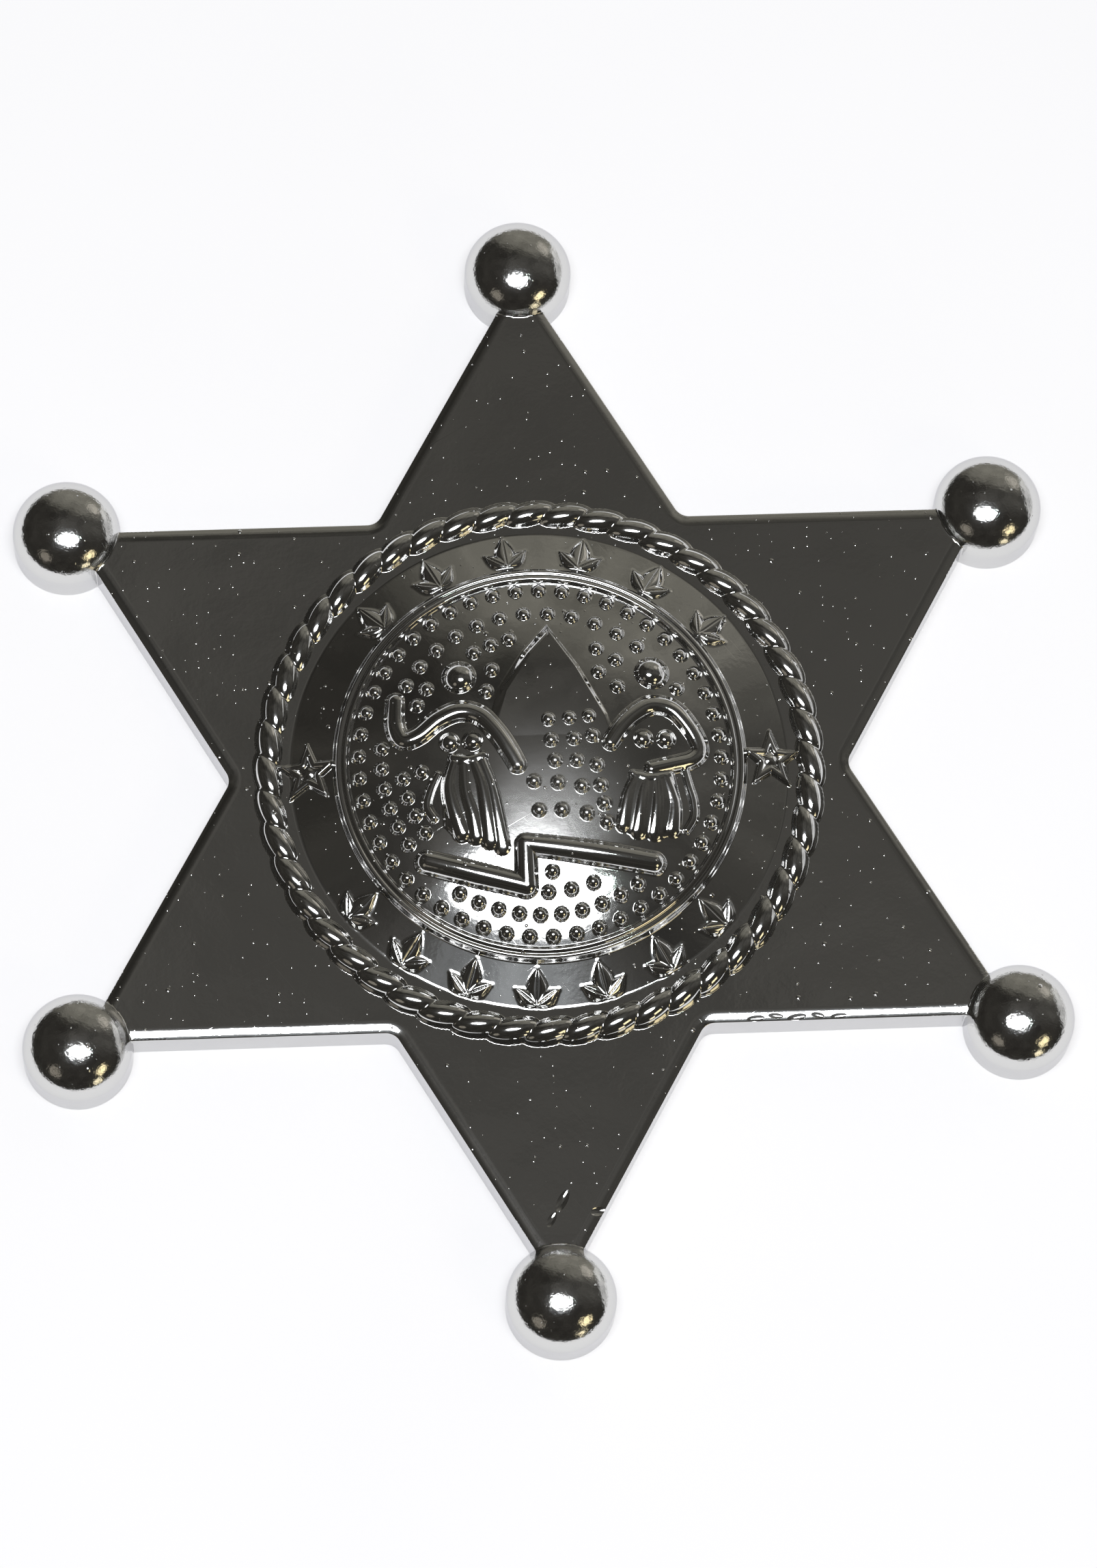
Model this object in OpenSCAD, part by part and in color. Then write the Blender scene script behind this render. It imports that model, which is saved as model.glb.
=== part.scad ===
// Six-pointed star badge with ball tips, a rope border and a domed round seal.
// It lies face up: the back rim stands on z = 0, and the star's centre is on the z axis.
// The back is hollow, and a brooch pin sits inside it under the seal.

/* [Star plate] */
// Distance from the centre to each straight edge of the star
edge_r = 19.8; // [19:0.1:21]
// Height of the flat face above the table
plate_t = 3.2; // [2.6:0.1:4.5]
// Radius of the rounding along the face's edge
edge_round = 0.6; // [0.2:0.1:1]
// Radius of the hollow corner between two arms
notch_r = 1.2; // [0.4:0.1:3]
// Thickness of the moulded shell
wall = 1.3; // [0.9:0.1:1.6]

/* [Ball tips] */
// Radius of a ball tip, seen from above
ball_r = 4.05; // [3.4:0.05:5]
// Distance from the point of an arm to the middle of its ball
ball_past_point = 0.4; // [0:0.1:1.5]
// Height of the upright wall under a ball's dome
ball_wall_h = 2.3; // [1:0.1:3]
// Height of a ball's dome over that wall
ball_dome_h = 2.9; // [2:0.1:4]

/* [Medallion] */
// Radius of the rope border's centre line
rope_r = 20.05; // [19.4:0.05:20.6]
// Width of the rope border
rope_w = 2.4; // [1.8:0.1:2.8]
// Height of the rope's crown over the flat face
rope_h = 1; // [0.5:0.1:1.4]
// Strands round the rope border
rope_strands = 48; // [36:2:60]
// Radius of the thin ring round the seal
ring_r = 14.7; // [13.5:0.1:15.5]
// Width of the thin ring
ring_w = 1; // [0.6:0.1:1.4]
// Rise of the band from the rope to the thin ring
band_rise = 1.15; // [0.6:0.05:1.8]
// Rise of the seal's dome inside the thin ring
seal_rise = 2.8; // [1.6:0.1:3.6]

/* [Relief] */
// Diameter of a dot on the seal
dot_d = 1.25; // [0.8:0.05:1.4]
// Height of a dot over the seal
dot_h = 0.5; // [0.3:0.05:0.6]
// Dots in the row next to the thin ring
dots_outer = 49; // [30:1:52]
// Height of the small stars and leaves over the band
motif_h = 0.4; // [0.2:0.05:0.7]
// Radius of a small star on the band
small_star_r = 2.1; // [1.4:0.1:2.3]
// Length of the middle leaf of a sprig
leaf_l = 2.6; // [1.6:0.1:3]

/* [Pin] */
// Length of the pin's bar
bar_l = 25; // [20:1:26]
// Width of the pin's bar
bar_w = 4.4; // [3:0.1:6]
// Thickness of the pin's bar
bar_t = 0.5; // [0.4:0.1:0.8]
// Diameter of the pin's wire
wire_d = 0.8; // [0.6:0.1:1.1]
// Gap between the bar and the posts that it sits on
seat_gap = 0.05; // [0:0.05:0.3]

/* [Hidden] */
$fn = 48;

ARMS = 6;
ARC_STEPS = 5;
EDGE_STEPS = 4;
BALL_STEPS = 12;
// How far pieces of one moulding reach into each other
SINK = 0.4;
// A joint's ball is this much thicker than the rods that meet in it
KNUCKLE = 1.08;
// A rod starts this share of its radius past the middle of its joint
ROD_START = 0.3;
// Half of a strand's length along the rope, as a share of the strands' spacing
STRAND_LEAN = 0.16;
// Depth of a ball's middle under the dome, as a share of its radius
BALL_SINK = 0.08;
// Radius of a pleat, in hundredths of the ring's radius
PLEAT_R = 1.7;
// Height of a robe over the dome
ROBE_H = 0.35;
// Depth of a limb's middle under the dome
LIMB_SINK = 0.12;
// Inner radius of a small star, as a share of its outer radius
STAR_WAIST = 0.42;
// Length of a sprig's side leaves as a share of the middle one, and the angle between them
SIDE_LEAF = 0.75;
LEAF_SPREAD = 52;
// Radius of a leaf's two curves, as a share of its length
LEAF_CURVE = 0.72;
// Free space between the ring and the first row of dots
DOT_CLEAR = 0.15;
// Distance from the bar's ends to the middle of the hinge and of the catch
PIN_INSET = 2.4;
// Free space between the pin and the table
PIN_CLEAR = 0.25;
// Length of the wire's point
WIRE_POINT = 2.2;

ball_circle_r = 2 * edge_r + ball_past_point;
band_outer_r = rope_r - rope_w / 2 + SINK;
seal_base_z = plate_t + band_rise;
seal_sphere_r = (ring_r * ring_r + seal_rise * seal_rise) / (2 * seal_rise);
seal_centre_z = seal_base_z + seal_rise - seal_sphere_r;

// Emblem tables: places and radii in hundredths of the thin ring's radius, x to the right, y up.
// Columns: x, y, radius
LEFT_ARM = [[-72, 33, 4.8], [-70, 13, 5], [-62, 13, 5], [-51, 21, 5], [-40, 25, 5.2],
            [-30, 22, 5.2], [-23, 14, 5], [-12, -5, 4.6]];
RIGHT_ARM = [[35.5, 6, 4.4], [47, 20, 4.8], [57, 26, 5.2], [68, 24, 5.2], [76.5, 14, 4.8],
             [79.5, 4, 4.4], [70, -4, 4.2], [56, -8, 4.2]];
RIBBON = [[-59, -52, 6], [-34, -60, 6], [-9.5, -67, 5.6], [-9.5, -46, 5.2], [24, -51, 6], [55, -56, 6]];
LEFT_BALLS = [[-45.5, 8.5, 4.8], [-34.5, 8.5, 4.8], [-39.5, 43.5, 8]];
RIGHT_BALLS = [[52, 8, 4.6], [63, 8, 4.6], [58, 44, 8]];
PEAK = [[-16, 39, 1.4], [-5, 57, 1.8], [6, 69, 1.6], [20, 48, 2], [33, 23, 2]];
LEFT_DRAPE = [[-54, -14, 2.4], [-56, -22, 2.4], [-55, -28, 2.6]];
RIGHT_DRAPE = [[72, -6, 2.2], [76, -22, 2.4], [76, -32, 2.2], [72, -39, 2]];
// Outlines of the two robes. Columns: x, y
LEFT_ROBE = [[-49, 22], [-42, 2], [-47, -8], [-50, -35], [-45, -40], [-36, -41], [-27, -43.5],
             [-19, -48], [-23, -20], [-26.5, -3.5], [-28.5, 1.5], [-27, 22]];
RIGHT_ROBE = [[47.5, 21], [67, 22], [63, 2], [61, -9], [66, -14], [67, -37.5], [55, -40.5],
              [43, -40], [38, -36], [45, -12], [52, -7], [51, 2]];
// Columns: x and y at the waist, x and y at the hem
LEFT_PLEATS = [[-43, -7, -46, -33], [-38.5, -7, -39, -36], [-34, -7, -31.5, -38.5],
               [-29.5, -7, -24, -42]];
RIGHT_PLEATS = [[49, -16, 43, -34.5], [53.5, -16, 50.5, -36.5], [58, -16, 58, -36.5],
                [62.5, -16, 64, -34]];
// Rows of dots that follow the ring. Columns: row radius, first angle, last angle, dots
DOT_ROWS = [[78, 49, 148, 12], [79, 27, 27, 1], [80, 174, 212, 6], [81, 238, 305, 10],
            [68, 145.5, 154, 2], [65, 102, 119, 3], [70, 187, 212, 4], [70, 271, 290, 3],
            [65, 52, 62, 2], [54, 42, 55, 2], [52, 116, 116, 1]];
// Single dots between the figures. Columns: x, y
LOOSE_DOTS = [[4.5, 18.5], [15, 19], [25, 20], [5.5, 7.5], [17, 8], [26.5, 9.5], [7, -3.5],
              [18, -3.5], [28, -6], [-4, -14], [8, -15], [20, -17], [29.5, -16.5], [31, -26],
              [-2, -29], [9.5, -29], [22, -31], [32, -35.5], [-26, 35], [-60, -6], [3.5, -60]];
dot_row_r = ring_r - ring_w / 2 - dot_d / 2 - DOT_CLEAR;

TOP_SPRIGS = 6;
TOP_SPRIG_STEP = 19.3;
TOP_SPRIG_MIDDLE = 87;
LOW_SPRIGS = 7;
LOW_SPRIG_STEP = 16.5;
LOW_SPRIG_MIDDLE = -93;
band_mid_r = (ring_r + ring_w / 2 + rope_r - rope_w / 2) / 2;
band_slope = atan2(band_rise, band_outer_r - ring_r);

strand_r = rope_w * 0.425;

hinge_r = wire_d * 0.9;
catch_r = wire_d * 0.85;
pin_z = hinge_r + PIN_CLEAR;
ceiling_z = plate_t + band_rise - wall;
bar_top_z = ceiling_z - 0.1;
bar_low_z = bar_top_z - seat_gap - bar_t;
post_x = bar_l * 0.3;
post_r = bar_w * 0.4;
hinge_x = -bar_l / 2 + PIN_INSET;
catch_x = bar_l / 2 - PIN_INSET;

function polar(r, a) = [r * cos(a), r * sin(a)];

// The star's outline, moved inwards by a distance, with its hollow corners rounded
function star_outline(inset) = [
    for (k = [0 : ARMS - 1])
        let (mid = k * 60, c = polar((edge_r + notch_r) / cos(30), mid))
        each concat(
            [for (i = [0 : ARC_STEPS]) c + polar(notch_r + inset, mid + 210 - 60 * i / ARC_STEPS)],
            [polar(2 * (edge_r - inset), mid + 30)])];

// Height of the seal's surface over the table, at a distance from the centre
function seal_z(r) = seal_centre_z + sqrt(seal_sphere_r * seal_sphere_r - r * r);

// A point on the seal from a place in hundredths of the ring's radius
function on_seal(x, y, lift = 0) =
    let (px = x * ring_r / 100, py = y * ring_r / 100)
    [px, py, seal_z(norm([px, py])) + lift];

function band_z(r) = plate_t + band_rise * (band_outer_r - r) / (band_outer_r - ring_r);

// A straight bar between two points, with a ball at each end that covers the bar's end
module rod(a, b, ra, rb) {
    v = b - a;
    long = norm(v);
    translate(a)
        rotate([0, acos(v.z / long), atan2(v.y, v.x)])
            translate([0, 0, ra * ROD_START])
                cylinder(h = long - (ra + rb) * ROD_START, r1 = ra, r2 = rb);
    translate(b)
        sphere(r = rb * KNUCKLE);
}

// A limb, ribbon or ridge through a table's points
module relief_path(rows, lift = 0) {
    first = rows[0];
    translate(on_seal(first[0], first[1], lift))
        sphere(r = first[2] * ring_r / 100 * KNUCKLE);
    for (i = [0 : len(rows) - 2]) {
        a = rows[i];
        b = rows[i + 1];
        rod(on_seal(a[0], a[1], lift), on_seal(b[0], b[1], lift),
            a[2] * ring_r / 100, b[2] * ring_r / 100);
    }
}

module dot_at(x, y) {
    dot_sphere_r = (dot_d * dot_d / 4 + dot_h * dot_h) / (2 * dot_h);
    translate([x, y, seal_z(norm([x, y])) + dot_h - dot_sphere_r])
        sphere(r = dot_sphere_r);
}

module dots() {
    for (k = [0 : dots_outer - 1]) {
        p = polar(dot_row_r, 360 * k / dots_outer);
        dot_at(p.x, p.y);
    }
    for (row = DOT_ROWS)
        for (k = [0 : row[3] - 1]) {
            step = row[3] > 1 ? (row[2] - row[1]) / (row[3] - 1) : 0;
            p = polar(row[0] * ring_r / 100, row[1] + k * step);
            dot_at(p.x, p.y);
        }
    for (d = LOOSE_DOTS)
        dot_at(d.x * ring_r / 100, d.y * ring_r / 100);
}

// A robed figure: its robe follows the dome as a raised shape, with the rest rounded on top of it
module figure(robe, arm, drape, balls, pleats) {
    // The robe starts just under the dome at its own far edge, so it stays out of the hollow back
    far_r = max([for (p = robe) norm(p)]) * ring_r / 100;
    intersection() {
        translate([0, 0, seal_z(far_r) - SINK / 2])
            linear_extrude(seal_rise)
                polygon(robe * ring_r / 100);
        translate([0, 0, seal_centre_z])
            sphere(r = seal_sphere_r + ROBE_H, $fn = 200);
    }
    relief_path(arm, -LIMB_SINK);
    relief_path(drape);
    for (ball = balls) {
        r = ball[2] * ring_r / 100;
        translate(on_seal(ball[0], ball[1], -r * BALL_SINK))
            sphere(r = r);
    }
    for (p = pleats)
        relief_path([[p[0], p[1], PLEAT_R], [p[2], p[3], PLEAT_R]], ROBE_H);
}

module emblem() {
    figure(LEFT_ROBE, LEFT_ARM, LEFT_DRAPE, LEFT_BALLS, LEFT_PLEATS);
    figure(RIGHT_ROBE, RIGHT_ARM, RIGHT_DRAPE, RIGHT_BALLS, RIGHT_PLEATS);
    relief_path(RIBBON, -LIMB_SINK);
    relief_path(PEAK);
}

// Two balls side by side make one slanting strand of the rope
module rope() {
    for (k = [0 : rope_strands - 1])
        for (side = [-1, 1])
            translate(concat(polar(rope_r + side * (rope_w / 2 - strand_r),
                                   (k - side * STRAND_LEAN) * 360 / rope_strands),
                             plate_t + rope_h - strand_r))
                sphere(r = strand_r);
}

module ring() {
    translate([0, 0, seal_base_z])
        rotate_extrude()
            translate([ring_r, 0])
                circle(r = ring_w / 2);
}

// A pointed leaf, lying along x from the origin
module leaf(length, thickness) {
    half = length / 2;
    curve_r = length * LEAF_CURVE;
    offset_y = sqrt(curve_r * curve_r - half * half);
    linear_extrude(thickness)
        intersection() {
            translate([half, offset_y])
                circle(r = curve_r);
            translate([half, -offset_y])
                circle(r = curve_r);
        }
}

// Three leaves on the band at one angle, the middle one pointing outwards or inwards
module sprig(angle, out) {
    foot_r = band_mid_r - out * leaf_l * 0.5;
    rotate(angle)
        translate([foot_r, 0, band_z(foot_r) - SINK])
            rotate([0, band_slope, 0])
                rotate(out > 0 ? 0 : 180) {
                    leaf(leaf_l, motif_h + SINK);
                    for (spread = [-LEAF_SPREAD, LEAF_SPREAD])
                        rotate(spread)
                            leaf(leaf_l * SIDE_LEAF, motif_h + SINK);
                }
}

// A small five-pointed star on the band
module small_star(angle) {
    rotate(angle)
        translate([band_mid_r, 0, band_z(band_mid_r) - SINK])
            rotate([0, band_slope, 0])
                linear_extrude(motif_h + SINK)
                    polygon([for (k = [0 : 9])
                        polar(k % 2 == 0 ? small_star_r : small_star_r * STAR_WAIST, 90 - angle + 36 * k)]);
}

module band_motifs() {
    for (k = [0 : TOP_SPRIGS - 1])
        sprig(TOP_SPRIG_MIDDLE + (k - (TOP_SPRIGS - 1) / 2) * TOP_SPRIG_STEP, 1);
    for (k = [0 : LOW_SPRIGS - 1])
        sprig(LOW_SPRIG_MIDDLE + (k - (LOW_SPRIGS - 1) / 2) * LOW_SPRIG_STEP, -1);
    small_star(0);
    small_star(180);
}

// The star's plate, with its rounded top edge built up in rings
module plate() {
    rings = concat([[0, 0]], [for (i = [0 : EDGE_STEPS])
        let (a = 90 * i / EDGE_STEPS)
        [plate_t - edge_round * (1 - sin(a)), edge_round * (1 - cos(a))]]);
    n = len(star_outline(0));
    side_points = [for (r = rings) each [for (p = star_outline(r[1])) [p.x, p.y, r[0]]]];
    last = (len(rings) - 1) * n;
    low_middle = len(side_points);
    top_middle = low_middle + 1;
    polyhedron(
        points = concat(side_points, [[0, 0, 0], [0, 0, plate_t]]),
        faces = concat(
            [for (i = [0 : n - 1]) [i, (i + 1) % n, low_middle]],
            [for (j = [0 : len(rings) - 2]) each [for (i = [0 : n - 1])
                [j * n + i, (j + 1) * n + i, (j + 1) * n + (i + 1) % n, j * n + (i + 1) % n]]],
            [for (i = [0 : n - 1]) [last + (i + 1) % n, last + i, top_middle]]));
}

module ball_tips() {
    for (k = [0 : ARMS - 1])
        translate(polar(ball_circle_r, 30 + 60 * k))
            rotate_extrude()
                polygon(concat([[0, 0], [ball_r, 0]],
                    [for (i = [0 : BALL_STEPS])
                        let (a = 90 * i / BALL_STEPS)
                        [ball_r * cos(a), ball_wall_h + ball_dome_h * sin(a)]]));
}

// The solid under the seal and its band, lowered by a distance
module dome(shrink) {
    slope = band_rise / (band_outer_r - ring_r);
    inner_r = ring_r - SINK / 2;
    outer_r = band_outer_r + SINK / slope;
    translate([0, 0, plate_t - SINK - shrink])
        cylinder(h = (outer_r - inner_r) * slope, r1 = outer_r, r2 = inner_r);
    intersection() {
        translate([0, 0, seal_centre_z])
            sphere(r = seal_sphere_r - shrink, $fn = 200);
        translate([0, 0, plate_t - shrink])
            cylinder(h = seal_rise + band_rise + 1, r = band_outer_r);
    }
}

module back_hollow() {
    translate([0, 0, -1])
        linear_extrude(plate_t - wall + 1)
            polygon(star_outline(wall));
    dome(wall);
}

module star_body() {
    color("silver") {
        difference() {
            union() {
                plate();
                dome(0);
            }
            back_hollow();
        }
        ball_tips();
        rope();
        ring();
        dots();
        emblem();
        band_motifs();
        for (side = [-1, 1])
            translate([side * post_x, 0, bar_top_z])
                cylinder(h = seal_z(post_x + post_r) - wall / 2 - bar_top_z, r = post_r);
    }
}

// A straight round bar along x at the height of the pin's wire
module pin_bar(x, length, r_start, r_end) {
    translate([x, 0, pin_z])
        rotate([0, 90, 0])
            cylinder(h = length, r1 = r_start, r2 = r_end);
}

// A block that hangs from the bar and reaches down to the wire's height
module pin_block(x, length, width) {
    translate([x - length / 2, -width / 2, pin_z])
        cube([length, width, bar_low_z - pin_z + bar_t / 2]);
}

module pin_back() {
    color("gainsboro") {
        translate([0, 0, bar_low_z])
            linear_extrude(bar_t)
                difference() {
                    square([bar_l, bar_w], center = true);
                    circle(r = bar_w * 0.22);
                }
        pin_block(hinge_x, hinge_r * 1.7, bar_w * 0.6);
        translate([hinge_x, bar_w * 0.35, pin_z])
            rotate([90, 0, 0])
                cylinder(h = bar_w * 0.7, r = hinge_r);
        pin_block(catch_x, catch_r * 2.2, catch_r * 1.3);
        pin_bar(catch_x - catch_r * 1.4, catch_r * 2.8, catch_r, catch_r);
        pin_bar(hinge_x, catch_x - hinge_x, wire_d / 2, wire_d / 2);
        pin_bar(catch_x, WIRE_POINT, wire_d / 2, wire_d * 0.1);
    }
}

star_body();
pin_back();
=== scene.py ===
import math
import bpy
import numpy as np
from mathutils import Matrix, Vector


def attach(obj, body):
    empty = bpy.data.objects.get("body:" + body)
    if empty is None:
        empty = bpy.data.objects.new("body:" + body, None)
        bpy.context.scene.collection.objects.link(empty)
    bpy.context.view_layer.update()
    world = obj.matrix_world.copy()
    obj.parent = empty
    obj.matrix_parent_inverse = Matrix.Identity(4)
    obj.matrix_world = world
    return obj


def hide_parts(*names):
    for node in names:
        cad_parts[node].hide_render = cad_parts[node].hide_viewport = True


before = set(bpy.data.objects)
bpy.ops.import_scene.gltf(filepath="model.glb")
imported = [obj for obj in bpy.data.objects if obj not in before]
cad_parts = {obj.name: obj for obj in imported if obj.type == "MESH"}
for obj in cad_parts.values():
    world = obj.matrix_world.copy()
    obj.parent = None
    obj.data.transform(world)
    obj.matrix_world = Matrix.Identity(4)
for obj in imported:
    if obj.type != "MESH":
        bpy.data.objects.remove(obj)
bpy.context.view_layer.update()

# The star badge's looks: its relief, plating, light and camera.
# Design sizes are in millimetres, as in the part's source, and meshes are in metres.
MM = 0.001

# Star plate
EDGE_R = 19.8
PLATE_T = 3.2
# The edge falls away over this width to this slope, then turns down in a small corner
SHOULDER_W = 0.95
SHOULDER_END = math.radians(20)
CORNER_R = 0.08
SHOULDER_STEPS = 8
CORNER_STEPS = 5
NOTCH_R = 1.2
WALL = 1.3
ARMS = 6
# Each arm's outer end is cut off square here, and its ball tip's own mesh goes on from the cut
ARM_CUT = 34.2
HOLLOW_END = 33
SHOULDER_R = SHOULDER_W / math.sin(SHOULDER_END)
SHOULDER_DROP = SHOULDER_R * (1 - math.cos(SHOULDER_END))
CORNER_IN = CORNER_R * (1 - math.sin(SHOULDER_END))
CORNER_Z = PLATE_T - SHOULDER_DROP - CORNER_R * math.cos(SHOULDER_END)

# Ball tips
BALL_R = 4.04
BALL_WALL_H = 2.3
BALL_DOME_H = 2.9
BALL_CIRCLE_R = 2 * EDGE_R + 0.4
BALL_FILLET = 0.07
BALL_CELL = 0.14
# Steps that move the mesh's points onto the surface
SURFACE_STEPS = 4

# Medallion
ROPE_R = 20.1
ROPE_H = 1
STRANDS = 48
STRAND_TILT = math.radians(14)
STRAND_HALF_L = 2.2
STRAND_HALF_W = 1.02
STRAND_ROUND = 0.85
RING_R = 14.7
RING_GAP = 0.42
RING_H = 0.46
RING_HALF_W = 0.5
RING_BODY_H = RING_H - 0.12
RIDGE_HALF_W = 0.22
RIDGE_H = 0.18
RING_BASE_Z = 4.74
BAND_FOOT_R = 18.6
BAND_BEND = 0.3
BAND_SLOPE = 0.32
BAND_STEEPER = 0.002
# The band stands this much over the plate, and comes down to it under the rope, over this width
# on each side of the rope's middle line
BAND_LIFT = 0.35
LIFT_FADE = 0.4
SEAL_TOP_Z = 7.15
BORDER_R = 21.75
# The band ends and the rope's own mesh begins here
BAND_R = 18.6
# The hollow is level outside this radius
HOLLOW_FLAT_R = 19.3
SEAL_RISE = SEAL_TOP_Z - RING_BASE_Z
SEAL_SPHERE_R = (RING_R ** 2 + SEAL_RISE ** 2) / (2 * SEAL_RISE)

# Posts of the pin, inside the hollow
POST_X = 7.5
POST_R = 1.76
POST_LOW_Z = 2.95
POST_SIDES = 48

# Mesh steps: the seal's square grid has a quarter as many cells on a side as the border has rays
GRID = 432
RAYS = 4 * GRID
BAND_RINGS = 50
ROPE_RINGS = 44
UNDERSIDE_STEP = 12
NOTCH_RAYS = 12
CUT_RAYS = 12
EDGE_RAYS = RAYS // 12 - NOTCH_RAYS - CUT_RAYS

# Relief
DOT_D = 1.06
DOT_H = 0.48
DOTS_OUTER = 49
DOT_ROW_R = 13.45
ROBE_H = 0.42
ROBE_ROUND = 0.8
# Share of its height that a robe loses towards its hem
HEM_LOSS = 0.7
PEAK_SLOPE = 0.075
PEAK_LOW_Y = 1.5
# The peak's edge is soft left of this line and crisp right of it
PEAK_SPLIT_X = 0.9
PEAK_SOFT_EDGE = 0.8
PEAK_CRISP_EDGE = 0.35
# Share of that edge that lies outside the peak's outline
PEAK_EDGE_OUT = 0.3
MOTIF_H = 0.42
# The motifs fade in this far outside the ring's middle. They and the rope's fillet at its rim
# fade over this width
MOTIF_GAP = 0.55
FADE_W = 0.3
SMALL_STAR_R = 2.3
SMALL_STAR_AT_R = 17.15
SMALL_STAR_WAIST = 0.42
STAR_RIM_IN = 0.24
STAR_RIM_HALF_W = 0.28
STAR_RIM_H = 0.26
STAR_FLOOR_H = 0.22
STAR_BUMP_R = 0.6
STAR_BUMP_H = 0.36
SPRIG_R = 17
LEAF_L = 2.7
SIDE_LEAF_L = LEAF_L * 0.75
SIDE_LEAF_ANGLE = math.radians(52)
# A leaf's half width as a share of its length, its least half width, and an exponent that moves
# its widest place towards the stalk
LEAF_HALF_W = 0.27
LEAF_LEAST_W = 0.02
LEAF_SKEW = 0.85
GROOVE_DEPTH = 0.1
GROOVE_HALF_W = 0.13
GROOVE_FADE = 8
# Heights of round-topped forms, as a share of their half width
PLEAT_RISE = 1.3
DRAPE_RISE = 0.9
ARM_RISE = 0.82
RIBBON_RISE = 0.78
HEAD_RISE = 0.75
# A round ridge goes on as a straight slope from this share of its radius
CROWN_REACH = 0.93
# Soft fillets between forms: the difference in height within which each one acts
SOFT = 0.1
PLEAT_SOFT = 0.14
LIMB_SOFT = 0.22
HEAD_SOFT = 0.16
RING_SOFT = 0.15
RIDGE_SOFT = 0.06
STRAND_SOFT = 0.12
ROPE_SOFT = 0.16
MOTIF_SOFT = 0.12
LEAF_SOFT = 0.08

# Emblem tables: places and radii in hundredths of the thin ring's radius, x to the right, y up.
# Columns: x, y, radius
LEFT_ARM = [[-72, 33, 4.6], [-72.5, 20, 5], [-69, 12, 5], [-61, 13.5, 5], [-51, 21, 5.2],
            [-40, 25, 5.4], [-30, 22, 5.2], [-22, 13, 5], [-16, 3, 4.8], [-12, -5, 4.6]]
RIGHT_ARM = [[35.5, 6, 4.4], [41, 14, 4.6], [48, 21, 4.8], [57, 26, 5.2], [68, 24, 5.2],
             [76.5, 14, 4.8], [80.5, 4, 4.4], [77, -2, 4.4], [68, -5, 4.4], [56, -8, 4.2]]
RIBBON = [[-59, -52, 5.8], [-34, -60, 6], [-9.5, -67, 5.6], [-9.5, -46, 5.2], [24, -51, 6],
          [55, -56, 5.8]]
LEFT_DRAPE = [[-52, -8, 2], [-56, -16, 2.4], [-58, -24, 2.6], [-55, -30, 2.6]]
RIGHT_DRAPE = [[72, -7, 2], [74, -16, 2.2], [76, -24, 2.3], [76, -32, 2.2], [72, -39, 2]]
LEFT_PLEATS = [[[-44, -3, 2.4], [-46.5, -14, 3.2], [-45.5, -24, 3.6], [-41, -39, 3.8]],
               [[-39, -3, 2.4], [-38.5, -18, 3], [-35.5, -30, 3.4], [-34, -41, 3.6]],
               [[-34, -3, 2.4], [-30.5, -14, 3], [-28.2, -30, 3.6], [-27, -43.5, 3.8]],
               [[-30, -1, 2.2], [-25.5, -16, 2.6], [-23, -32, 3.2], [-21, -47, 3.4]],
               [[-44, 0, 2.2], [-36, -1.8, 2.6], [-29, 0.5, 2.2]]]
RIGHT_PLEATS = [[[47, -13, 2.2], [43, -22, 2.8], [40, -37, 3.2]],
                [[52.5, -14, 2.3], [50.3, -23, 3], [47.5, -40, 3.6]],
                [[58, -14, 2.3], [57.8, -25, 3], [56, -41, 3.6]],
                [[63, -13, 2.2], [66.5, -26, 2.8], [65, -39, 3.4]],
                [[46, -11, 2.1], [54, -13, 2.4], [64, -11, 2.1]]]
# Outlines of the two robes and of the peak between them. Columns: x, y
LEFT_ROBE = [[-46, 0], [-50, -14], [-49.5, -35], [-43, -42], [-33, -44], [-25, -47], [-18.5, -49],
             [-20, -30], [-24, -12], [-27.5, 1]]
RIGHT_ROBE = [[45, -9], [40.5, -22], [36.5, -38], [46, -43], [58, -43.5], [69, -41], [70, -28],
              [66.5, -9]]
PEAK = [[6, 70], [20.5, 47.5], [34, 21], [40, 0], [-30, 0], [-19, 36], [-6, 56]]
# Heads and chest bosses. Columns: x, y, radius
BALLS = [[-45.5, 8.5, 5], [-34, 8.5, 5], [-39.5, 43.5, 8.6], [52, 8, 4.8], [63.5, 8, 4.8],
         [58, 44, 8.6]]
# Rows of dots that follow the ring. Columns: row radius, first angle, last angle, dots
DOT_ROWS = [[78, 49, 148, 12], [79, 27, 27, 1], [80, 174, 212, 6], [81, 238, 305, 10],
            [68, 145.5, 154, 2], [65, 102, 119, 3], [70, 187, 212, 4], [70, 271, 290, 3],
            [65, 52, 62, 2], [54, 42, 55, 2], [52, 116, 116, 1]]
# Single dots between the figures. Columns: x, y
LOOSE_DOTS = [[4.5, 18.5], [15, 19], [25, 20], [5.5, 7.5], [17, 8], [26.5, 9.5], [7, -3.5],
              [18, -3.5], [28, -6], [-4, -14], [8, -15], [20, -17], [29.5, -16.5], [31, -26],
              [-2, -29], [9.5, -29], [22, -31], [32, -35.5], [-26, 35], [-60, -6], [3.5, -60]]

TOP_SPRIGS = 6
TOP_SPRIG_STEP = 19.3
TOP_SPRIG_MIDDLE = 87
LOW_SPRIGS = 7
LOW_SPRIG_STEP = 16.5
LOW_SPRIG_MIDDLE = -93


def polar(radius, angle):
    return np.array([radius * math.cos(angle), radius * math.sin(angle)])


def smooth_max(a, b, soft):
    """The higher of two surfaces, with a soft fillet where they meet."""
    near = np.clip(1 - np.abs(a - b) / soft, 0, None)
    return np.maximum(a, b) + soft / 4 * near * near


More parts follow.
